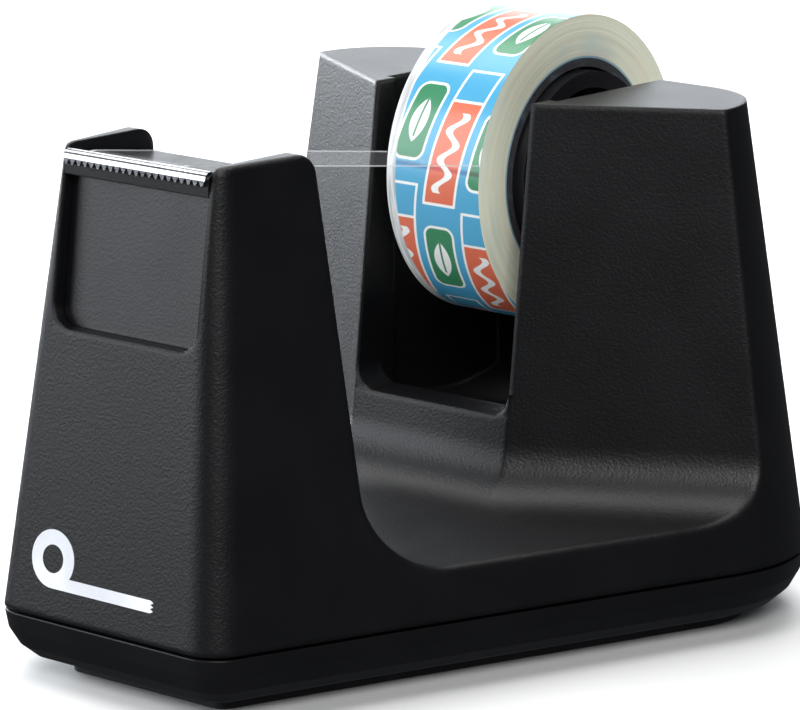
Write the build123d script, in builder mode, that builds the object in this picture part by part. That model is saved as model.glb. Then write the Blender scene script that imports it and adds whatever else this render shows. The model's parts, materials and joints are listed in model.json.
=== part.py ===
from build123d import *
import math
import os

os.makedirs("parts", exist_ok=True)

# Desk tape dispenser. Millimetres, +Z up. The cutter end faces -Y and the roll sits at the +Y end.
# The origin is under the middle of the whole object, on the surface that it stands on.

# Driving dimensions: the roll
tape_width = 15.0
strip_thickness = 0.15
roll_radius = 19.7
core_outer_radius = 14.2
core_inner_radius = 13.1
axis_from_front = 79.3
axis_height = 53.4

# Driving dimensions: the body
body_length = 94.5
body_height = 64.5
parting_height = 8.5
front_half_width = 17.65
side_flare = 0.34
neck_waist = 0.2
top_setback = 7.0
top_length = 88.0
top_front_half_width = 12.9
neck_from_front = 22.0
top_neck_half_width = 14.6
top_flare = 0.36
wall = 2.3

# Driving dimensions: the valley between the towers and the roll well
valley_floor = 15.0
rear_wall_foot = 56.5
rear_wall_lean = 0.11
ear_sweep = 30.4
slot_half_width = 12.6
cradle_radius = 31.5
mouth_height = 25.5
guide_depth = 1.2
guide_half_width = 12.2
mouth_corner = 3.0
mouth_filler_depth = 5.0
sill_y = 39.5
sill_height = 33.0
sill_depth = 12.0
sill_thickness = 1.8
rim_radius = 0.8

# Driving dimensions: the cutter end
recess_half_width = 11.7
recess_foot = 43.0
recess_depth = 1.9
recess_corner = 3.0
platform_height = 61.6
front_ease = [(0.0, -1.5), (0.45, -0.65), (1.15, -0.15), (2.2, 0.0)]
tooth_count = 22
blade_width = 22.8
blade_thickness = 0.4
crown_radius = 1.0
blade_reach = 0.4
lip_length = 0.7
tooth_height = 0.75
blade_top = 64.0
blade_knee = 1.85
blade_tail = 4.6
panel_thickness = 1.8

# Driving dimensions: the foot
pad_thickness = 1.2
adhesive_thickness = 0.2
pad_inset = 7.3
tray_inset = 6.6
parting_gap = 0.4

# Driving dimensions: the hub
axle_radius = 3.0
axle_fit = 0.06
hub_half_length = 9.0
hub_rim_radius = 12.7
rib_count = 12

# Places worked out from the driving dimensions
front_y = -(axis_from_front + roll_radius) / 2
axis_y = front_y + axis_from_front
neck_y = front_y + neck_from_front
rear_y = front_y + body_length
top_front_y = front_y + top_setback
top_rear_y = front_y + top_length
front_lean = top_setback / (body_height - parting_height)
sweep_ratio = math.tan(math.radians(ear_sweep))
tray_bottom = pad_thickness + adhesive_thickness
tray_floor = tray_bottom + 2.0
housing_bottom = parting_height + parting_gap / 2
tray_top = parting_height - parting_gap / 2
front_boss_y = neck_y - wall - 3.2
rear_boss_y = front_y + 74.0
boss_places = [(-8.0, front_boss_y), (8.0, front_boss_y), (-29.0, rear_boss_y), (29.0, rear_boss_y)]
boss_radius = 3.5
post_radius = 4.4
screw_radius = 1.4
screw_head_radius = 2.8
screw_head_height = 1.8
screw_tip = 18.0
pin_radius = 2.4
pin_places = [(-10.0, front_y + 42.0), (10.0, front_y + 42.0)]
plate_height = 6.0
mouth_y = front_y + rear_wall_foot + rear_wall_lean * mouth_height


def front_face_y(height):
    """Where the leaning front face lies at a height."""
    return front_y + front_lean * (height - parting_height)


def mirrored(points):
    """Close a right-hand half outline with its left-hand mirror."""
    return points + [(-x, y) for x, y in reversed(points)]


def base_outline(inset=0.0):
    """Corners of the foot plan, moved inwards by the inset."""
    edge_scale = math.sqrt(1 + side_flare**2)
    half = []
    for y, waist in ((front_y + inset, 0.0), (neck_y, neck_waist), (rear_y - inset, 0.0)):
        flared = front_half_width + side_flare * (y - front_y)
        half.append((flared - waist - inset * edge_scale, y))
    return mirrored(half)


def top_outline(inset=0.0):
    """Corners of the plan at the top of the body, moved inwards by the inset."""
    rear = top_rear_y - inset
    rear_half = top_neck_half_width + top_flare * (rear - neck_y) - inset
    front = (top_front_half_width - inset, top_front_y + inset)
    return mirrored([front, (top_neck_half_width - inset, neck_y), (rear_half, rear)])


def draw_plan(points, front_radius, rear_radius):
    """A closed plan with rounded front and rear corners."""
    with BuildSketch(mode=Mode.PRIVATE) as plan:
        with BuildLine():
            Polyline(*points, close=True)
        make_face()
        fillet(plan.vertices().group_by(Axis.Y)[0], front_radius)
        fillet(plan.vertices().group_by(Axis.Y)[-1], rear_radius)
    return plan.sketch


def body_shape(inset, bottom, top):
    """The outer shape of the body, or the same shape moved inwards."""
    front_radius = max(5.0 - inset, 1.5)
    top_radius = max(3.0 - inset, 1.5)
    with BuildPart(mode=Mode.PRIVATE) as shape:
        with BuildSketch(Plane.XY.offset(bottom)):
            add(draw_plan(base_outline(inset), front_radius, 19.0 - inset))
        with BuildSketch(Plane.XY.offset(top)):
            add(draw_plan(top_outline(inset), top_radius, 12.0 - inset))
        loft(ruled=True)
    return shape.part


def valley_shape(grow):
    """The scoop between the towers: a straight front wall, a swept rear wall, a rounded floor."""
    reach = 70.0
    floor = valley_floor - grow
    with BuildPart(mode=Mode.PRIVATE) as shape:
        for height in (floor, body_height + 6.0):
            foot = front_y + rear_wall_foot + rear_wall_lean * height + grow
            outer = foot + (reach - slot_half_width) * sweep_ratio
            with BuildSketch(Plane.XY.offset(height)):
                with BuildLine():
                    Polyline(
                        *mirrored([(reach, neck_y - grow), (reach, outer), (slot_half_width, foot)]),
                        close=True,
                    )
                make_face()
        loft(ruled=True)
        low = shape.edges().group_by(Axis.Z)[0]
        front_edge = low.sort_by(Axis.Y)[0]
        rear_edges = low.filter_by(lambda e: abs(e.center().X) < reach - 5).sort_by(Axis.Y)[1:]
        fillet(front_edge, 10.0 + grow)
        fillet(rear_edges, 8.0 + grow)
    return shape.part


def well_shape(half_width, grow):
    """The space for the roll: a slot open at the front, top and rear over a round cradle."""
    with BuildPart(mode=Mode.PRIVATE) as shape:
        with BuildSketch(Plane.YZ):
            with Locations((axis_y, axis_height)):
                Circle(cradle_radius + grow)
            with Locations((axis_y, (mouth_height - grow + 90.0) / 2)):
                Rectangle(66.0, 90.0 - mouth_height + grow)
            with Locations((axis_y, 105.0)):
                Rectangle(120.0, 60.0, mode=Mode.SUBTRACT)
        extrude(amount=half_width, both=True)
    return shape.part


def side_half_width(y, z):
    """Half the width of the body at a place along it and a height."""
    rise = (z - housing_bottom) / (body_height - housing_bottom)
    foot = front_half_width + side_flare * (y - front_y)
    top = top_neck_half_width + top_flare * (y - neck_y)
    return foot + (top - foot) * rise


def on_valley_rim(edge):
    """True for the edges where the valley meets the sides of the body."""
    middle = edge.center()
    along = neck_y - 0.1 < middle.Y < front_y + 77.0 and 14.0 < middle.Z < body_height - 5.0
    neck_seam = middle.Y < neck_y + 0.1 and middle.Z < 25.0
    on_side = abs(abs(middle.X) - side_half_width(middle.Y, middle.Z)) < 1.2
    return along and on_side and not neck_seam


def across(x):
    """The plane square to the hub axis at a distance from the middle."""
    return Plane(origin=(x, axis_y, axis_height), x_dir=(0, 1, 0), z_dir=(1, 0, 0))


def side_plane(x):
    """The plane of side profiles, drawn in Y and Z, at a distance from the middle."""
    return Plane(origin=(x, 0, 0), x_dir=(0, 1, 0), z_dir=(1, 0, 0))


# Housing: the one-piece upper shell, open underneath
outer_shape = body_shape(0.0, housing_bottom, body_height)
inner_shape = body_shape(wall, housing_bottom, body_height - wall)
cavity_shape = inner_shape - valley_shape(wall)
cavity_shape = cavity_shape - well_shape(slot_half_width + guide_depth + wall, wall)
recess_wall = recess_depth + panel_thickness
platform_bottom = platform_height - panel_thickness
recess_plane = Plane(
    origin=(0, front_face_y(recess_foot) + 0.02, recess_foot),
    x_dir=(1, 0, 0),
    z_dir=(0, -1, front_lean),
)

with BuildPart() as housing:
    add(outer_shape)
    add(valley_shape(0.0), mode=Mode.SUBTRACT)
    add(well_shape(slot_half_width, 0.0), mode=Mode.SUBTRACT)
    # Guide channels for the axle ends, open at the top and the rear
    with BuildSketch(Plane.YZ):
        with Locations((axis_y, axis_height)):
            Circle(cradle_radius)
        with Locations((axis_y - guide_half_width, 0)):
            Rectangle(60.0, 120.0, align=(Align.MIN, Align.MIN), mode=Mode.INTERSECT)
        with Locations((axis_y - guide_half_width, axis_height)):
            Rectangle(60.0, 40.0, align=(Align.MIN, Align.MIN))
    extrude(amount=slot_half_width + guide_depth, both=True, mode=Mode.SUBTRACT)
    add(cavity_shape, mode=Mode.SUBTRACT)
    # Ledges in the channels, each with a notch that the axle end drops into
    with BuildSketch(Plane.YZ.offset(-slot_half_width - guide_depth)) as ledge:
        with Locations((axis_y, axis_height - 5.0)):
            Rectangle(13.0, 17.0)
        fillet(ledge.vertices().group_by(Axis.Y)[0], 2.0)
        with Locations((axis_y, axis_height)):
            Circle(axle_radius + axle_fit, mode=Mode.SUBTRACT)
        with Locations((axis_y, axis_height + 5.0)):
            Rectangle(2 * (axle_radius + axle_fit), 10.0, mode=Mode.SUBTRACT)
    extrude(amount=guide_depth)
    mirror(about=Plane.YZ)
    # The opening for the cutter carrier: a window in the front face and a gap between the cheeks
    with BuildSketch(side_plane(-recess_half_width)):
        with BuildLine():
            Polyline(
                (front_face_y(recess_foot) - 3.0, recess_foot),
                (front_face_y(recess_foot) + recess_wall, recess_foot),
                (front_face_y(platform_bottom) + recess_wall, platform_bottom),
                (neck_y + 1.0, platform_bottom),
                (neck_y + 1.0, body_height + 1.0),
                (top_front_y - 3.0, body_height + 1.0),
                close=True,
            )
        make_face()
    extrude(amount=2 * recess_half_width, mode=Mode.SUBTRACT)
    # The front top edge, eased in three short steps, and the ends of the cheeks rounded over at the valley
    ease_foot = body_height + front_ease[0][1]
    eased = [(front_face_y(ease_foot) + back, body_height + rise) for back, rise in front_ease]
    with BuildSketch(side_plane(-20.0)):
        with BuildLine():
            Polyline(
                (eased[0][0] - 2.0, ease_foot),
                *eased,
                (eased[-1][0], body_height + 1.0),
                (eased[0][0] - 2.0, body_height + 1.0),
                close=True,
            )
        make_face()
    extrude(amount=40.0, mode=Mode.SUBTRACT)
    top_edges = housing.edges().filter_by(Axis.X)
    top_edges = top_edges.filter_by_position(Axis.Z, body_height - 0.1, body_height + 0.1)
    fillet(top_edges.filter_by_position(Axis.Y, neck_y - 0.1, neck_y + 0.1), 2.4)
    fillet(housing.edges().filter_by(on_valley_rim), rim_radius)
    # Rounded lower corners of the recess, in front of the carrier panel
    with BuildSketch(recess_plane) as recess_corners:
        for side in (-1, 1):
            with Locations((side * (recess_half_width - recess_corner / 2), recess_corner / 2)):
                Rectangle(recess_corner, recess_corner)
        for side in (-1, 1):
            with Locations((side * (recess_half_width - recess_corner), recess_corner)):
                Circle(recess_corner, mode=Mode.SUBTRACT)
    extrude(amount=-(recess_depth - 0.1))
    # Rounded lower corners of the slot mouth
    with BuildSketch(Plane.XZ.offset(-(mouth_y + 0.1))) as mouth_corners:
        for side in (-1, 1):
            with Locations((side * (slot_half_width - mouth_corner / 2), mouth_height + mouth_corner / 2)):
                Rectangle(mouth_corner, mouth_corner)
        for side in (-1, 1):
            with Locations((side * (slot_half_width - mouth_corner), mouth_height + mouth_corner)):
                Circle(mouth_corner, mode=Mode.SUBTRACT)
    extrude(amount=-mouth_filler_depth)
    # The sill that closes the slot behind the roll, low enough to clear it
    with BuildSketch(Plane.XY.offset(sill_height)):
        with Locations((0, sill_y)):
            Rectangle(2 * (slot_half_width + guide_depth), sill_thickness, align=(Align.CENTER, Align.MIN))
    extrude(amount=-sill_depth)
    # Screw bosses
    with BuildSketch(Plane.XY.offset(housing_bottom)):
        with Locations(*boss_places):
            Circle(boss_radius)
    extrude(amount=16.0)
    with BuildSketch(Plane.XY.offset(housing_bottom)):
        with Locations(*boss_places):
            Circle(screw_radius)
    extrude(amount=12.0, mode=Mode.SUBTRACT)

housing.part.label = "housing"
export_step(housing.part, "parts/housing.step")


# Base tray: the lower shell with a deeply rounded bottom edge
def tray_plan(height, inset):
    """The foot plan at a height, moved inwards by the inset."""
    return Pos(0, 0, height) * draw_plan(base_outline(inset), max(5.0 - 0.5 * inset, 1.5), 19.0 - inset)


tray_round = tray_top - tray_bottom
tray_shapes = []
for turn in (0, 20, 40, 60, 78, 90):
    angle = math.radians(turn)
    height = tray_top - tray_round * math.sin(angle)
    tray_shapes.append(tray_plan(height, tray_inset * (1 - math.cos(angle))))
tray_outer = loft(tray_shapes, ruled=True)
tray_pocket = loft([tray_plan(tray_floor, tray_inset + 0.4), tray_plan(tray_top, wall)], ruled=True)
lip_outer = loft([tray_plan(tray_top - 0.8, wall + 0.5), tray_plan(tray_top + 2.0, wall + 0.5)], ruled=True)
lip_inner = loft([tray_plan(tray_top - 2.0, wall + 1.6), tray_plan(tray_top + 3.0, wall + 1.6)], ruled=True)
tray_shell = (tray_outer - tray_pocket) + (lip_outer - lip_inner)

with BuildPart() as base_tray:
    add(tray_shell)
    # Posts that meet the housing bosses, counterbored from below for the screw heads
    with BuildSketch(Plane.XY.offset(tray_bottom)):
        with Locations(*boss_places):
            Circle(post_radius)
    extrude(amount=housing_bottom - tray_bottom)
    with BuildSketch(Plane.XY.offset(tray_bottom)):
        with Locations(*boss_places):
            Circle(screw_head_radius + 0.3)
    extrude(amount=screw_head_height + 0.2, mode=Mode.SUBTRACT)
    with BuildSketch(Plane.XY.offset(tray_bottom)):
        with Locations(*boss_places):
            Circle(screw_radius + 0.3)
    extrude(amount=housing_bottom, mode=Mode.SUBTRACT)
    # Pins that hold the ballast plate
    with BuildSketch(Plane.XY.offset(tray_floor - 0.5)):
        with Locations(*pin_places):
            Circle(pin_radius)
    extrude(amount=plate_height + 0.5)
    with BuildSketch(Plane.XY.offset(tray_floor + 1.0)):
        with Locations(*pin_places):
            Circle(1.1)
    extrude(amount=plate_height, mode=Mode.SUBTRACT)

base_tray.part.label = "base_tray"
export_step(base_tray.part, "parts/base_tray.step")

# Stop pad: the soft non-slip sheet under the tray, and the adhesive film that holds it
with BuildPart() as stop_pad:
    with BuildSketch():
        add(draw_plan(base_outline(pad_inset), 2.0, 19.0 - pad_inset))
    extrude(amount=pad_thickness)

stop_pad.part.label = "stop_pad"
export_step(stop_pad.part, "parts/stop_pad.step")

with BuildPart() as pad_adhesive:
    with BuildSketch(Plane.XY.offset(pad_thickness)):
        add(draw_plan(base_outline(pad_inset + 1.0), 1.5, 18.0 - pad_inset))
    extrude(amount=adhesive_thickness)

pad_adhesive.part.label = "pad_adhesive"
export_step(pad_adhesive.part, "parts/pad_adhesive.step")

# Case screws, driven up through the tray into the housing bosses
with BuildPart() as case_screws:
    with BuildSketch(Plane.XY.offset(tray_bottom + 0.2)):
        with Locations(*boss_places):
            Circle(screw_head_radius)
    extrude(amount=screw_head_height)
    with BuildSketch(Plane.XY.offset(tray_bottom + 0.2)):
        with Locations(*boss_places):
            Rectangle(3.2, 0.7)
            Rectangle(0.7, 3.2)
    extrude(amount=1.0, mode=Mode.SUBTRACT)
    with BuildSketch(Plane.XY.offset(tray_bottom + 1.4)):
        with Locations(*boss_places):
            Circle(screw_radius)
    extrude(amount=screw_tip - tray_bottom - 1.4)

case_screws.part.label = "case_screws"
export_step(case_screws.part, "parts/case_screws.step")

# Ballast: a drilled steel plate under the valley and a block under the roll well
with BuildPart() as ballast_plate:
    with BuildSketch(Plane.XY.offset(tray_floor)) as plate_plan:
        with BuildLine():
            Polyline(*mirrored([(18.0, front_y + 27.0), (25.0, front_y + 56.0)]), close=True)
        make_face()
        fillet(plate_plan.vertices(), 2.0)
        with Locations(*pin_places):
            Circle(pin_radius + 0.1, mode=Mode.SUBTRACT)
    extrude(amount=plate_height)

ballast_plate.part.label = "ballast_plate"
export_step(ballast_plate.part, "parts/ballast_plate.step")

with BuildPart() as ballast_block:
    with BuildSketch(Plane.XY.offset(tray_floor)) as block_plan:
        with Locations((0, front_y + 72.5)):
            Rectangle(40.0, 25.0)
        fillet(block_plan.vertices(), 2.0)
    extrude(amount=8.6)
    chamfer(ballast_block.faces().sort_by(Axis.Z)[-1].edges(), 0.8)

ballast_block.part.label = "ballast_block"
export_step(ballast_block.part, "parts/ballast_block.step")

with BuildPart() as ballast_screws:
    with BuildSketch(Plane.XY.offset(tray_floor + plate_height)):
        with Locations(*pin_places):
            Circle(3.6)
    extrude(amount=1.6)
    with BuildSketch(Plane.XY.offset(tray_floor + plate_height + 0.8)):
        with Locations(*pin_places):
            Rectangle(3.6, 0.8)
            Rectangle(0.8, 3.6)
    extrude(amount=1.0, mode=Mode.SUBTRACT)
    with BuildSketch(Plane.XY.offset(tray_floor + 1.4)):
        with Locations(*pin_places):
            Circle(1.1)
    extrude(amount=plate_height - 1.4)

ballast_screws.part.label = "ballast_screws"
export_step(ballast_screws.part, "parts/ballast_screws.step")

# Cutter carrier: the insert with the front panel, the tape platform and the rib under the blade
carrier_half = recess_half_width - 0.1
crown_z = blade_top - crown_radius
crown_y = front_face_y(crown_z) - blade_reach + crown_radius
rib_radius = crown_radius - blade_thickness - 0.02
rib_foot = platform_height - 0.6
rib_knee = blade_knee - blade_thickness - 0.25


def crown_arc(radius):
    """Points of the rounded crown at a radius from its middle, from the rear over the top to the front."""
    turns = [math.radians(turn) for turn in range(0, 181, 15)]
    return [(crown_y + radius * math.cos(turn), crown_z + radius * math.sin(turn)) for turn in turns]


with BuildPart() as cutter_carrier:
    with BuildSketch(side_plane(-carrier_half)):
        with BuildLine():
            Polyline(
                (front_face_y(recess_foot) + recess_depth, recess_foot),
                (front_face_y(recess_foot) + recess_wall - 0.1, recess_foot),
                (front_face_y(platform_bottom) + recess_wall - 0.1, platform_bottom),
                (neck_y, platform_bottom),
                (neck_y, platform_height),
                (crown_y + rib_knee, platform_height),
                *crown_arc(rib_radius),
                (crown_y - rib_radius, rib_foot),
                (front_face_y(rib_foot) + recess_depth, rib_foot),
                close=True,
            )
        make_face()
    extrude(amount=2 * carrier_half)
    # Snap legs that hook behind the front wall of the valley
    with BuildSketch(Plane.XY.offset(platform_bottom)):
        with Locations((-5.5, neck_y - wall - 1.0), (5.5, neck_y - wall - 1.0)):
            Rectangle(4.0, 1.4)
    extrude(amount=-11.0)
    # Gussets between the panel and the platform
    for x in (-9.0, 0.0, 7.6):
        with BuildSketch(side_plane(x)):
            with BuildLine():
                Polyline(
                    (front_face_y(52.0) + recess_wall - 0.3, 52.0),
                    (front_face_y(52.0) + recess_wall + 7.0, platform_bottom + 0.2),
                    (front_face_y(platform_bottom) + recess_wall - 0.3, platform_bottom + 0.2),
                    close=True,
                )
            make_face()
        extrude(amount=1.4)

cutter_carrier.part.label = "cutter_carrier"
export_step(cutter_carrier.part, "parts/cutter_carrier.step")

# Cutter blade: a bent steel strip over the rib, with a row of teeth along its front lip
blade_half = blade_width / 2
tooth_pitch = blade_width / tooth_count
tip_z = crown_z - lip_length
notch_top = tip_z + tooth_height

blade_outline = [
    (crown_y + blade_tail, platform_height + blade_thickness),
    (crown_y + blade_knee, platform_height + blade_thickness),
    *crown_arc(crown_radius),
    (crown_y - crown_radius, tip_z),
    (crown_y - crown_radius + blade_thickness, tip_z),
    *reversed(crown_arc(crown_radius - blade_thickness)),
    (crown_y + blade_knee - blade_thickness, platform_height),
    (crown_y + blade_tail, platform_height),
]

with BuildPart() as cutter_blade:
    with BuildSketch(side_plane(-blade_half)):
        with BuildLine():
            Polyline(*blade_outline, close=True)
        make_face()
    extrude(amount=blade_width)
    # Notches between the teeth, cut along Y through the lip only
    with BuildSketch(Plane.XZ.offset(-crown_y)):
        for step in range(tooth_count + 1):
            middle = -blade_half + step * tooth_pitch
            with BuildLine():
                Polyline(
                    (middle - 0.5 * tooth_pitch, tip_z - 0.2),
                    (middle + 0.5 * tooth_pitch, tip_z - 0.2),
                    (middle, notch_top),
                    close=True,
                )
            make_face()
    extrude(amount=3.0, mode=Mode.SUBTRACT)

cutter_blade.part.label = "cutter_blade"
export_step(cutter_blade.part, "parts/cutter_blade.step")

# Axle: a plain spindle whose ends rest in the notches, with a collar each side of the hub
axle_end = slot_half_width + guide_depth - 0.2

with BuildPart() as axle:
    with BuildSketch(across(-axle_end)):
        Circle(axle_radius)
    extrude(amount=2 * axle_end)
    for start in (-slot_half_width + 0.3, hub_half_length + 0.1):
        with BuildSketch(across(start)):
            Circle(4.6)
        extrude(amount=slot_half_width - hub_half_length - 0.4)
    circles = axle.edges().filter_by(GeomType.CIRCLE)
    chamfer(circles.filter_by(lambda e: abs(abs(e.center().X) - axle_end) < 0.01), 0.4)

axle.part.label = "axle"
export_step(axle.part, "parts/axle.step")


def hub_half(label, side):
    """One half of the hub: a ribbed drum, a web, a bore tube, spokes and an end rim."""
    reach = side * hub_half_length
    with BuildPart() as half:
        with BuildSketch(across(0)):
            Circle(12.2)
            Circle(10.6, mode=Mode.SUBTRACT)
            with PolarLocations(12.4, rib_count):
                Rectangle(1.1, 1.2)
        extrude(amount=side * (tape_width / 2 - 0.4))
        with BuildSketch(across(0)):
            Circle(11.0)
            Circle(4.0, mode=Mode.SUBTRACT)
        extrude(amount=side * 1.6)
        with BuildSketch(across(0)):
            Circle(5.2)
        extrude(amount=reach)
        with BuildSketch(across(0)):
            with PolarLocations(7.9, 6):
                Rectangle(6.0, 1.2)
        extrude(amount=side * 5.0)
        with BuildSketch(across(side * (tape_width / 2 - 0.6))):
            Circle(hub_rim_radius)
            Circle(10.6, mode=Mode.SUBTRACT)
        extrude(amount=side * (hub_half_length - tape_width / 2 + 0.6))
        rim = half.faces().sort_by(Axis.X)[-1 if side > 0 else 0].edges().sort_by(SortBy.LENGTH)[-1]
        chamfer(rim, 0.5)
        with BuildSketch(across(-side)):
            Circle(axle_radius + axle_fit)
        extrude(amount=side * 20.0, mode=Mode.SUBTRACT)
    half.part.label = label
    export_step(half.part, f"parts/{label}.step")
    return half.part


hub_left = hub_half("hub_left", -1)
hub_right = hub_half("hub_right", 1)


def roll_ring(label, outer, inner):
    """One ring of the tape roll, as wide as the tape."""
    with BuildPart() as ring:
        with BuildSketch(across(-tape_width / 2)):
            Circle(outer)
            Circle(inner, mode=Mode.SUBTRACT)
        extrude(amount=tape_width)
    ring.part.label = label
    export_step(ring.part, f"parts/{label}.step")
    return ring.part


tape_core = roll_ring("tape_core", core_outer_radius, core_inner_radius)
core_band = roll_ring("core_band", core_outer_radius + 0.25, core_outer_radius + 0.02)
tape_winding = roll_ring("tape_winding", roll_radius, core_outer_radius + 0.27)

# Tape strip: the taut free end, from the front of the roll, over the platform, to the blade
peel_height = 56.6
peel_y = axis_y - math.sqrt(roll_radius**2 - (peel_height - axis_height) ** 2) - 0.3
strip_rest = blade_top + 0.03
strip_front = crown_y - 0.8
strip_turn = crown_y + 0.6

with BuildPart() as tape_strip:
    with BuildSketch(side_plane(-tape_width / 2)):
        with BuildLine():
            Polyline(
                (strip_front, strip_rest),
                (strip_turn, strip_rest),
                (peel_y, peel_height),
                (peel_y, peel_height + strip_thickness),
                (strip_turn, strip_rest + strip_thickness),
                (strip_front, strip_rest + strip_thickness),
                close=True,
            )
        make_face()
    extrude(amount=tape_width)

tape_strip.part.label = "tape_strip"
export_step(tape_strip.part, "parts/tape_strip.step")
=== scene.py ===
import bpy
import bmesh
import json
import math
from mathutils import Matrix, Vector

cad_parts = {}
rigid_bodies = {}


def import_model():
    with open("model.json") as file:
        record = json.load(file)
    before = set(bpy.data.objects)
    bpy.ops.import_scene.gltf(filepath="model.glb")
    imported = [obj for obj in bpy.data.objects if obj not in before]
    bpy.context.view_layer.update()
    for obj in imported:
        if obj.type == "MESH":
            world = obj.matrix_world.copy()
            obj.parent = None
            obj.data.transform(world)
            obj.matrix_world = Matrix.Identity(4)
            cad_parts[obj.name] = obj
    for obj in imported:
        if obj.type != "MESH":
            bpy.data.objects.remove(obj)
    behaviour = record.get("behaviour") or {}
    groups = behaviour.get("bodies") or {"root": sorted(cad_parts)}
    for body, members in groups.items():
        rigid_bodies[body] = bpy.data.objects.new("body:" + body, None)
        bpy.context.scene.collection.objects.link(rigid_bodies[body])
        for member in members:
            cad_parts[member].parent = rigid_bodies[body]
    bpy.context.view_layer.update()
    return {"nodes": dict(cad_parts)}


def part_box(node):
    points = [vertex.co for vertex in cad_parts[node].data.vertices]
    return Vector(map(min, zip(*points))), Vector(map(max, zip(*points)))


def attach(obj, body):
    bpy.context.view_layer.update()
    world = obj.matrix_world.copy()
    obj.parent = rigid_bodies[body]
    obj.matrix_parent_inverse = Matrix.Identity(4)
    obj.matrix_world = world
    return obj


MM = 0.001

for default in list(bpy.data.objects):
    bpy.data.objects.remove(default)
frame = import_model()
nodes = frame["nodes"]
scene = bpy.context.scene
scene.view_settings.view_transform = "Standard"

# Places read from the CAD model
roll_low, roll_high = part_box("tape_winding")
axis_y = (roll_low.y + roll_high.y) / 2
axis_z = (roll_low.z + roll_high.z) / 2
roll_radius = (roll_high.z - roll_low.z) / 2
shell_low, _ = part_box("housing")

# Driving dimensions of the CAD model, in millimetres
front_lean = 7.0 / 56.0
parting_height = 8.5
strip_half_width = 7.5


# ---------------------------------------------------------------- camera

camera_data = bpy.data.cameras.new("camera")
camera_data.lens = 208.5
camera_data.sensor_width = 36.0
camera_data.clip_start = 0.05
camera = bpy.data.objects.new("camera", camera_data)
scene.collection.objects.link(camera)
turn, tilt = math.radians(40.964), math.radians(13.098)
camera.rotation_euler = (math.pi / 2 - tilt, 0.0, turn)
camera.location = (0.3683, -0.4202, 0.1634)
scene.camera = camera


# ---------------------------------------------------------------- material tools


class Term:
    """A socket of a node tree that takes part in arithmetic."""

    def __init__(self, tree, socket):
        self.tree = tree
        self.socket = socket

    def apply(self, operation, *others):
        node = self.tree.nodes.new("ShaderNodeMath")
        node.operation = operation
        for slot, value in zip(node.inputs, (self, *others)):
            if isinstance(value, Term):
                self.tree.links.new(value.socket, slot)
            else:
                slot.default_value = value
        return Term(self.tree, node.outputs[0])

    def __add__(self, other):
        return self.apply("ADD", other)

    def __sub__(self, other):
        return self.apply("SUBTRACT", other)

    def __mul__(self, other):
        return self.apply("MULTIPLY", other)

    def __truediv__(self, other):
        return self.apply("DIVIDE", other)

    def __neg__(self):
        return self * -1.0

    def __abs__(self):
        return self.apply("ABSOLUTE")

    def low(self, other):
        return self.apply("MINIMUM", other)

    def high(self, other):
        return self.apply("MAXIMUM", other)

    def wrap(self, period):
        """The distance from the nearest multiple of the period, with its sign."""
        return self - (self / period).apply("ROUND") * period

    def length(self, other):
        return (self * self + other * other).apply("SQRT")

    def step(self, start, end):
        """0 on the side of start and 1 on the side of end, smoothly."""
        node = self.tree.nodes.new("ShaderNodeMapRange")
        node.interpolation_type = "SMOOTHSTEP"
        node.inputs["From Min"].default_value = start
        node.inputs["From Max"].default_value = end
        self.tree.links.new(self.socket, node.inputs["Value"])
        return Term(self.tree, node.outputs["Result"])

    def inside(self, soft=0.06):
        """1 where a distance is negative and 0 where it is positive, eased over soft either side."""
        return self.step(soft, -soft)

    def span(self, low, high):
        """A value from 0 to 1 stretched to run from low to high."""
        return self * (high - low) + low


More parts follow.
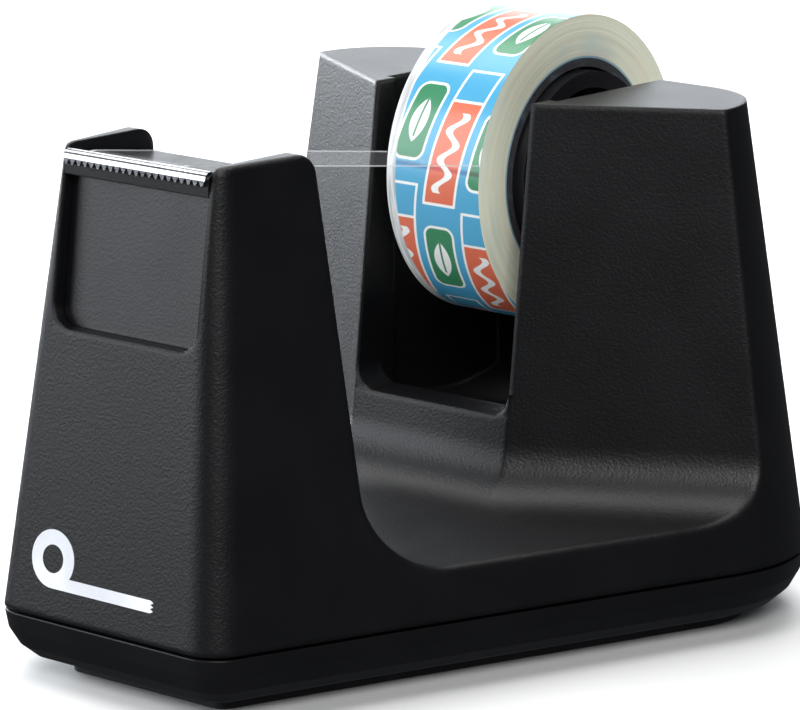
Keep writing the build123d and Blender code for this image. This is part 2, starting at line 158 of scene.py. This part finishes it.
class Material:
    """A node material round one Principled shader."""

    def __init__(self, name, **settings):
        self.material = bpy.data.materials.new(name)
        self.material.use_nodes = True
        self.tree = self.material.node_tree
        self.shader = self.tree.nodes["Principled BSDF"]
        self.place = self.tree.nodes.new("ShaderNodeTexCoord").outputs["Object"]
        for socket, value in settings.items():
            name = socket.replace("_", " ").title().replace("Ior", "IOR")
            if isinstance(value, tuple):
                value = (*value, 1.0)
            self.shader.inputs[name].default_value = value

    def axes(self):
        """The place in the object's own frame, in millimetres."""
        split = self.tree.nodes.new("ShaderNodeSeparateXYZ")
        self.tree.links.new(self.place, split.inputs[0])
        return [Term(self.tree, out) * (1 / MM) for out in split.outputs]

    def combine(self, x, y, z):
        node = self.tree.nodes.new("ShaderNodeCombineXYZ")
        for slot, value in zip(node.inputs, (x, y, z)):
            if isinstance(value, Term):
                self.tree.links.new(value.socket, slot)
            else:
                slot.default_value = value
        return node.outputs[0]

    def noise(self, size, detail=2.0, place=None, rough=0.5):
        """Noise with lumps about size across. Size and any place given are in millimetres."""
        node = self.tree.nodes.new("ShaderNodeTexNoise")
        node.inputs["Scale"].default_value = 1 / (size * MM) if place is None else 1 / size
        node.inputs["Detail"].default_value = detail
        node.inputs["Roughness"].default_value = rough
        self.tree.links.new(self.place if place is None else place, node.inputs["Vector"])
        return Term(self.tree, node.outputs["Fac"])

    def mix(self, factor, first, second):
        """The first colour where the factor is 0 and the second where it is 1."""
        node = self.tree.nodes.new("ShaderNodeMix")
        node.data_type = "RGBA"
        self.tree.links.new(factor.socket, node.inputs["Factor"])
        for slot, value in ((node.inputs[6], first), (node.inputs[7], second)):
            if isinstance(value, tuple):
                slot.default_value = (*value, 1.0)
            else:
                self.tree.links.new(value, slot)
        return node.outputs[2]

    def put(self, name, value):
        socket = value.socket if isinstance(value, Term) else value
        self.tree.links.new(socket, self.shader.inputs[name])

    def bump(self, height, distance, ease=0.0):
        """Raise the surface by height, from 0 to 1, times a distance, and ease its edges.

        The distance and the ease are in millimetres."""
        node = self.tree.nodes.new("ShaderNodeBump")
        if ease:
            soft = self.tree.nodes.new("ShaderNodeBevel")
            soft.samples = 6
            soft.inputs["Radius"].default_value = ease * MM
            self.tree.links.new(soft.outputs[0], node.inputs["Normal"])
        node.inputs["Distance"].default_value = distance * MM
        self.tree.links.new(height.socket, node.inputs["Height"])
        self.tree.links.new(node.outputs[0], self.shader.inputs["Normal"])


def dim(colour, share):
    return tuple(share * channel for channel in colour)


def moulded(name, colour, roughness, grain, depth, specular=0.5, ease=0.0):
    """Moulded plastic with a fine grain and slow changes of polish."""
    made = Material(name, specular_ior_level=specular)
    fine = made.noise(grain, 2.5, rough=0.6)
    broad = made.noise(9.0, 2.0)
    made.put("Base Color", made.mix(broad.step(0.35, 0.65), dim(colour, 0.8), colour))
    blotch = 0.06
    made.put("Roughness", (broad * 0.7 + fine * 0.3).span(roughness - blotch, roughness + blotch))
    made.bump(fine, depth, ease)
    return made


def finish_node(name, made):
    """Give a CAD node its material."""
    slots = nodes[name].data.materials
    for index in range(len(slots)):
        slots[index] = made.material


# ---------------------------------------------------------------- plastics and metals

black = (0.0036, 0.0037, 0.0046)
finish_node("housing", moulded("housing_black", black, 0.4, 0.36, 0.05, specular=0.4, ease=1.0))
finish_node("base_tray", moulded("tray_black", black, 0.36, 0.25, 0.01, ease=0.3))
finish_node("cutter_carrier", moulded("carrier_black", black, 0.4, 0.36, 0.03, ease=0.2))
finish_node("axle", moulded("axle_black", (0.012, 0.012, 0.013), 0.3, 0.3, 0.004))
finish_node("stop_pad", moulded("pad_rubber", (0.018, 0.018, 0.02), 0.75, 0.15, 0.03))
finish_node("pad_adhesive", moulded("adhesive_film", (0.55, 0.52, 0.42), 0.5, 0.8, 0.01))


def steel(name, colour, roughness, along_x):
    """Steel with a fine grain, drawn out into streaks along X if it is rolled that way."""
    made = Material(name, metallic=1.0)
    x, y, z = made.axes()
    across_scale = 6.0
    along_scale = 0.15 if along_x else across_scale
    place = made.combine(x * along_scale, y * across_scale, z * across_scale)
    streaks = made.noise(1.0, 3.0, place)
    cloud = made.noise(3.0, 2.0)
    made.put("Base Color", made.mix(cloud.step(0.3, 0.7), dim(colour, 0.82), colour))
    made.put("Roughness", streaks.span(roughness * 0.7, roughness * 1.4))
    made.bump(streaks, 0.006)
    return made


finish_node("cutter_blade", steel("blade_steel", (0.70, 0.71, 0.73), 0.22, True))
screw_steel = steel("screw_steel", (0.55, 0.55, 0.56), 0.32, False)
finish_node("case_screws", screw_steel)
finish_node("ballast_screws", screw_steel)
ballast_steel = steel("ballast_steel", (0.33, 0.32, 0.31), 0.5, True)
finish_node("ballast_plate", ballast_steel)
finish_node("ballast_block", ballast_steel)


# ---------------------------------------------------------------- the roll


def around_axis(made):
    """Across the tape, radius and angle round the roll's axis (0 at the cutter side, rising)."""
    x, y, z = made.axes()
    back = y - axis_y / MM
    up = z - axis_z / MM
    return x, back.length(up), up.apply("ARCTAN2", -back)


def rounded_box(along, across, length, width, corner):
    """Distance from a rounded rectangle, negative inside."""
    a = abs(along) - (length / 2 - corner)
    c = abs(across) - (width / 2 - corner)
    outside = a.high(0.0).length(c.high(0.0))
    return outside + a.high(c).low(0.0) - corner


# The printed pattern, in millimetres: slanted columns of alternating tall boxes and rounded labels
print_slant = 0.19
column_pitch = 6.3
column_shift = 15.65
motif_period = 34.2
first_box_across, first_box_along = 1.4, 6.4
box_length, box_width, box_corner = 18.2, 5.3, 0.12
label_length, label_width, label_corner = 10.4, 5.0, 1.5
outline = 0.36

# The upper end of each tall box is left blue, and a wavy ribbon fills the inked part
blank_end = 4.4
ribbon_period, ribbon_sway = 3.7, 0.9
ribbon_half_width, ribbon_half_length = 0.58, 5.2

# Each label holds a leaf: the overlap of two circles, split by a vein with a short stalk
leaf_radius, leaf_offset = 3.9, 2.6
vein_half_width, vein_foot = 0.16, 2.2

# The line where the strip leaves the roll, with shade painted along it, and the band on the far side,
# painted with a silvery reflection in place of the print
peel_shade_along, peel_shade_half_width, peel_shade_gamma = 2.1, 0.3, 1.9
reflection_band_start = -6.1

ground_blue = (0.075, 0.37, 0.60)
ink_orange = (0.72, 0.155, 0.08)
ink_green = (0.045, 0.24, 0.115)
ink_white = (0.86, 0.87, 0.84)
# The band on the far side: the dark and light of a painted silvery reflection
reflection_dark, reflection_light = (0.42, 0.44, 0.45), (0.78, 0.80, 0.80)

# The sides of the roll: edges of film, tinted by the print within
film_shadow, film_cream = (0.70, 0.71, 0.53), (0.96, 0.97, 0.82)
tint_blue, tint_warm = (0.46, 0.68, 0.72), (0.80, 0.58, 0.46)


def print_and_peel_shade(made, x, angle):
    """The printed pattern's colour, with shade painted along the line where the strip leaves the
    roll, and the distance round the roll, in millimetres.
    """
    along = angle * (roll_radius / MM)
    slanted = x - along * print_slant - first_box_across
    column = (slanted / column_pitch).apply("ROUND")
    across = slanted - column * column_pitch
    place = along - column * column_shift - first_box_along
    box_place = place.wrap(motif_period)
    label_place = (place - motif_period / 2).wrap(motif_period)
    box = rounded_box(box_place, across, box_length, box_width, box_corner)
    run = box_place + blank_end / 2
    fill_length, fill_width = box_length - blank_end - 2 * outline, box_width - 2 * outline
    fill = rounded_box(run, across, fill_length, fill_width, 0.1)
    label = rounded_box(label_place, across, label_length, label_width, label_corner)
    # A wavy ribbon in the tall boxes and a leaf in the labels
    wave = (run * (2 * math.pi / ribbon_period)).apply("SINE") * ribbon_sway
    ribbon = abs(across - wave) - ribbon_half_width
    ribbon = ribbon.high(abs(run) - ribbon_half_length)
    near_circle = label_place.length(across - leaf_offset)
    far_circle = label_place.length(across + leaf_offset)
    leaf = near_circle.high(far_circle) - leaf_radius
    vein = (abs(across) - vein_half_width).high(-(label_place + vein_foot))
    # Each shape is laid over those before it
    colour = ground_blue
    for factor, ink in (
        (box.inside(), ink_white),
        ((box + outline).inside(), ground_blue),
        ((fill - outline).inside(), ink_white),
        (fill.inside(), ink_orange),
        (label.inside(), ink_white),
        ((label + outline).inside(), ink_green),
        (ribbon.inside(0.08), ink_white),
        (leaf.inside(), ink_white),
        (leaf.high(vein).inside(), ink_green),
    ):
        colour = made.mix(factor, colour, ink)
    # Shade is painted along the line where the strip leaves the roll: the colour is deeper there
    peel_shade = made.tree.nodes.new("ShaderNodeGamma")
    made.tree.links.new(colour, peel_shade.inputs["Color"])
    peel_shade.inputs["Gamma"].default_value = peel_shade_gamma
    on_peel_shade = (abs(along - peel_shade_along) - peel_shade_half_width).inside(0.25)
    return made.mix(on_peel_shade, colour, peel_shade.outputs[0]), along


def wound_tape():
    """Wound clear tape: print on its outer turn and the edges of the film on its sides."""
    made = Material("tape_roll", specular_ior_level=0.45, coat_weight=0.3, coat_roughness=0.16)
    x, radius, angle = around_axis(made)
    on_rim = (radius - (roll_radius / MM - 0.02)).step(0.0, 0.01)
    on_side = on_rim * -1.0 + 1.0
    # The outer turn, with a silvery reflection painted on the band at the far side in place of the
    # print
    colour, along = print_and_peel_shade(made, x, angle)
    streaks = made.noise(1.0, 3.0, made.combine(x * 2.0, along * 0.15, 0.0))
    painted_reflection = made.mix(streaks.step(0.3, 0.7), reflection_dark, reflection_light)
    colour = made.mix((x - reflection_band_start).inside(0.12), colour, painted_reflection)
    # The sides: fine rings of film edges, tinted here and there by the print within
    rings = made.noise(1.0, 4.0, made.combine(radius * 7.0, angle * 0.4, 0.0), rough=0.75)
    patch = made.noise(1.0, 2.0, made.combine(radius * 0.35, angle * 1.4, 3.0))
    warm = made.noise(1.0, 2.0, made.combine(radius * 0.3, angle * 1.1, 11.0))
    side = made.mix(rings.step(0.3, 0.75), film_shadow, film_cream)
    side = made.mix(patch.step(0.5, 0.78) * rings.span(0.1, 0.7), side, tint_blue)
    side = made.mix(warm.step(0.55, 0.8) * rings.span(0.1, 0.55), side, tint_warm)
    made.put("Base Color", made.mix(on_rim, side, colour))
    made.put("Roughness", made.noise(4.0, 2.0).span(0.26, 0.36) + on_side * 0.25)
    made.bump(on_side * rings + on_rim * made.noise(5.0, 1.0), 0.03)
    return made


finish_node("tape_winding", wound_tape())

core = Material("core_plastic")
core_x, core_radius, core_angle = around_axis(core)
glint = core.noise(1.0, 2.0, core.combine(core_x * 0.3, core_radius * 0.5, core_angle * 3.0))
core.put("Base Color", core.mix(glint.step(0.5, 0.7), (0.05, 0.05, 0.055), (0.10, 0.16, 0.20)))
core.put("Roughness", glint.span(0.2, 0.4))
finish_node("tape_core", core)
finish_node("core_band", moulded("band_print", (0.3, 0.5, 0.6), 0.4, 0.5, 0.002))


def turned(name, colour, roughness):
    """Glossy moulded plastic with the faint rings of its turned tool."""
    made = Material(name)
    x, radius, angle = around_axis(made)
    rings = made.noise(1.0, 2.0, made.combine(radius * 3.0, angle * 0.2, x * 0.3))
    made.put("Base Color", made.mix(rings.step(0.3, 0.7), dim(colour, 0.7), colour))
    made.put("Roughness", rings.span(roughness - 0.08, roughness + 0.08))
    made.bump(rings, 0.01)
    return made


hub_black = turned("hub_black", (0.014, 0.014, 0.016), 0.3)
finish_node("hub_left", hub_black)
finish_node("hub_right", hub_black)


# ---------------------------------------------------------------- the printed mark on the front


# In millimetres
ring_x, ring_z = -8.6, 15.9
ring_outer, ring_inner = 3.5, 1.7
ring_steps = 48
ring_lift, strip_lift = 0.03, 0.036
mark_end = 7.6
mark_teeth, mark_tooth = 3, 0.5


def front_face(x, z, lift):
    """A point just proud of the leaning front face, from millimetres."""
    return Vector((x, shell_low.y / MM + front_lean * (z - parting_height) - lift, z)) * MM


def printed_mark():
    """A plain ring with a strip running off it, as flat ink."""
    ink = bmesh.new()
    loops = []
    for radius in (ring_outer, ring_inner):
        loop = []
        for step in range(ring_steps):
            angle = 2 * math.pi * step / ring_steps
            x, z = ring_x + radius * math.cos(angle), ring_z + radius * math.sin(angle)
            loop.append(ink.verts.new(front_face(x, z, ring_lift)))
        loops.append(loop)
    outer, inner = loops
    for step in range(ring_steps):
        after = (step + 1) % ring_steps
        ink.faces.new((outer[step], outer[after], inner[after], inner[step]))
    # The strip under the ring, with a toothed end
    low = ring_z - ring_outer
    corners = [(ring_x, low), (mark_end, low)]
    for tooth in range(mark_teeth):
        corners.append((mark_end + mark_tooth, low + mark_tooth * (tooth + 0.5)))
        corners.append((mark_end, low + mark_tooth * (tooth + 1)))
    corners.append((ring_x, low + mark_teeth * mark_tooth))
    ink.faces.new([ink.verts.new(front_face(x, z, strip_lift)) for x, z in corners])
    mesh = bpy.data.meshes.new("front_mark")
    ink.normal_update()
    ink.to_mesh(mesh)
    ink.free()
    mark = bpy.data.objects.new("front_mark", mesh)
    scene.collection.objects.link(mark)
    white = moulded("mark_white", (0.72, 0.74, 0.79), 0.5, 0.3, 0.01)
    mesh.materials.append(white.material)
    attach(mark, "base")


printed_mark()


# ---------------------------------------------------------------- the strip of film

film = Material("strip_film", base_color=(0.9, 0.92, 0.93), roughness=0.06, specular_ior_level=0.6)
film_x = film.axes()[0]
edge = (abs(film_x) - (strip_half_width - 0.18)).step(0.0, 0.1)
haze = film.noise(6.0, 2.0)
film.put("Alpha", haze.span(0.03, 0.06) + edge * 0.5)
finish_node("tape_strip", film)


# ---------------------------------------------------------------- floor and light

floor_mesh = bpy.data.meshes.new("floor")
sheet = bmesh.new()
bmesh.ops.create_grid(sheet, x_segments=1, y_segments=1, size=3.0)
sheet.to_mesh(floor_mesh)
sheet.free()
floor = bpy.data.objects.new("floor", floor_mesh)
scene.collection.objects.link(floor)
floor.location.z = -0.05 * MM
pale = Material("floor_pale", base_color=(0.9, 0.9, 0.9), roughness=0.9, specular_ior_level=0.0)
# The floor fades into the white room well clear of the object, between these distances in millimetres
fade_start, fade_end = 350.0, 900.0
floor_x, floor_y, _ = pale.axes()
pale.put("Alpha", floor_x.length(floor_y).step(fade_end, fade_start))
floor.data.materials.append(pale.material)
floor.visible_glossy = False

# The room is white to the camera and dim as a source of light
world = bpy.data.worlds.new("studio")
scene.world = world
world.use_nodes = True
sky = world.node_tree
background = sky.nodes["Background"]
path = sky.nodes.new("ShaderNodeLightPath")
shade = sky.nodes.new("ShaderNodeMix")
shade.data_type = "RGBA"
shade.inputs[6].default_value = (0.06, 0.063, 0.07, 1.0)
shade.inputs[7].default_value = (1.0, 1.0, 1.0, 1.0)
sky.links.new(path.outputs["Is Camera Ray"], shade.inputs["Factor"])
sky.links.new(shade.outputs[2], background.inputs["Color"])


light_target = Vector((0.0, 0.0, 0.03))
cool_white = (0.9, 0.95, 1.0)


def softbox(name, place, size, power, colour=(1.0, 1.0, 1.0)):
    """A rectangular light at a place in metres, turned to the object."""
    data = bpy.data.lights.new(name, "AREA")
    data.shape = "RECTANGLE"
    data.size, data.size_y = size
    data.energy = power
    data.color = colour
    light = bpy.data.objects.new(name, data)
    scene.collection.objects.link(light)
    light.location = place
    toward = light_target - Vector(place)
    light.rotation_euler = toward.to_track_quat("-Z", "Y").to_euler()


softbox("top", (-0.2, 0.1, 0.9), (0.9, 0.9), 10.5)
softbox("left", (-0.7, -0.72, 0.3), (0.75, 0.65), 6.8, cool_white)
softbox("rear", (-0.7, 0.7, 0.32), (0.9, 0.5), 4.0, cool_white)
softbox("right", (0.72, -0.72, 0.72), (0.55, 0.55), 9.0)
softbox("far", (-1.0, 0.2, 0.22), (0.6, 0.4), 11.0, cool_white)
